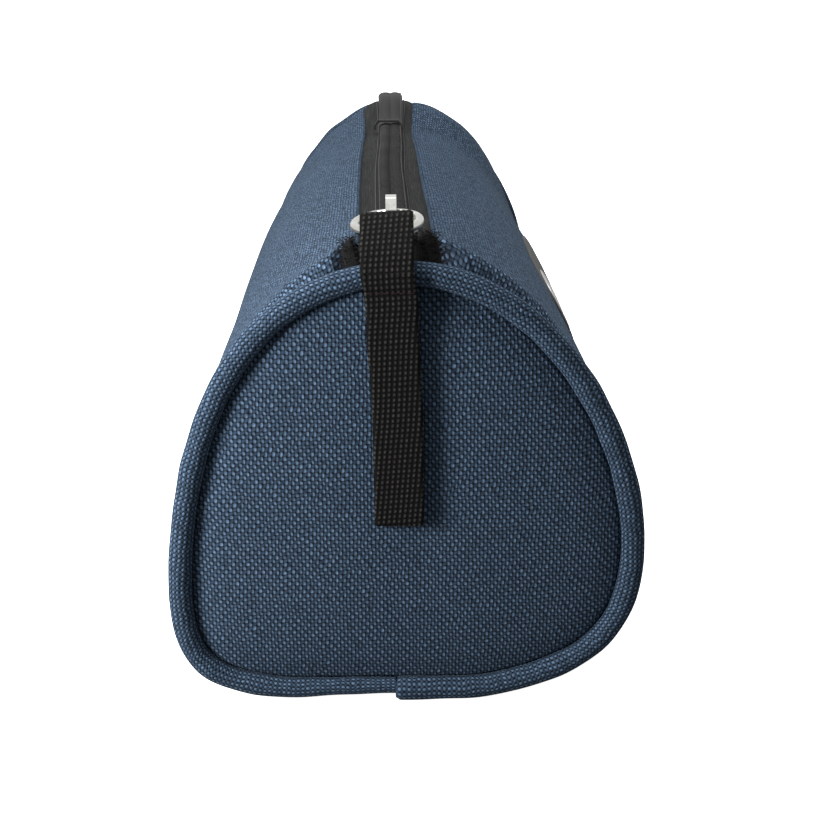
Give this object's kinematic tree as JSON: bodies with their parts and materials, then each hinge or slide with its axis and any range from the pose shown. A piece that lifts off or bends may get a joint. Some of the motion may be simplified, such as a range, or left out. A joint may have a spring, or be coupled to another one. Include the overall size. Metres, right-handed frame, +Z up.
{
  "type": "pencil case",
  "caption": "Soft zipped pencil case of rounded-triangle section, with piped ends, a ridge zip, a slider with a round ring, and a hanging webbing pull.",
  "frame": {"origin": "on the flat underside of the base panel, below the zip's centre line and halfway between the two ends", "axes": "+X to the right seen from the slider's end, +Y from the slider's end to the far end, +Z up"},
  "size_m": [0.0866, 0.2145, 0.0903],
  "materials": {
    "navy_cloth": "matte coarse plain weave, navy with paler flecks",
    "navy_trim": "the same cloth cut on the bias round a cord",
    "lining_cloth": "thin plain dark lining",
    "white_cord": "twisted cotton cord, hidden inside the piping",
    "black_tape": "fine woven black tape",
    "black_nylon": "semi-gloss nylon coil",
    "nickel": "polished nickel plate",
    "black_webbing": "coarse woven webbing with a slight sheen",
    "label_rubber": "soft moulded patch",
    "label_plate": "satin silver-grey, blank"
  },
  "bodies": {
    "case": {"base_panel": "navy_cloth", "base_lining": "lining_cloth", "front_end_panel": "navy_cloth", "rear_end_panel": "navy_cloth", "front_end_lining": "lining_cloth", "rear_end_lining": "lining_cloth", "front_piping_cover": "navy_trim", "rear_piping_cover": "navy_trim", "front_piping_cord": "white_cord", "rear_piping_cord": "white_cord", "front_seam_binding": "black_tape", "rear_seam_binding": "black_tape", "front_zip_tab": "black_tape", "zip_bottom_stop": "black_nylon"},
    "left_side": {"left_side_panel": "navy_cloth", "left_side_lining": "lining_cloth", "left_zip_tape": "black_tape", "left_zip_coil": "black_nylon"},
    "right_side": {"right_side_panel": "navy_cloth", "right_side_lining": "lining_cloth", "right_zip_tape": "black_tape", "right_zip_coil": "black_nylon", "side_label": "label_rubber", "side_label_plate": "label_plate"},
    "slider": {"slider_body": "nickel"},
    "ring": {"pull_ring": "nickel"},
    "strap": {"pull_webbing": "black_webbing"}
  },
  "joints": [
    {"name": "zip_travel", "type": "slide", "parent": "case", "child": "slider", "axis": [0, 1, 0], "range_m": [0, 0.135]},
    {"name": "left_side_fold", "type": "hinge", "parent": "case", "child": "left_side", "pos_m": [-0.04146, 0, 0.02043], "axis": [0, -1, 0], "range_deg": [0, 14], "deforming": ["left_zip_tape", "left_zip_coil"]},
    {"name": "right_side_fold", "type": "hinge", "parent": "case", "child": "right_side", "pos_m": [0.04343, 0, 0.01997], "axis": [0, 1, 0], "range_deg": [0, 14], "deforming": ["right_zip_tape", "right_zip_coil"]},
    {"name": "ring_flip", "type": "hinge", "parent": "slider", "child": "ring", "pos_m": [0, -0.0799, 0.08811], "axis": [-1, 0, 0], "range_deg": [0, 165]},
    {"name": "strap_swing", "type": "hinge", "parent": "ring", "child": "strap", "pos_m": [0, -0.09193, 0.08556], "axis": [-1, 0, 0], "range_deg": [0, 80], "deforming": ["pull_webbing"]}
  ],
  "couplings": [
    {"joint": "left_side_fold", "follows": "zip_travel", "rad_per_m": 1.8},
    {"joint": "right_side_fold", "follows": "zip_travel", "rad_per_m": 1.8}
  ]
}
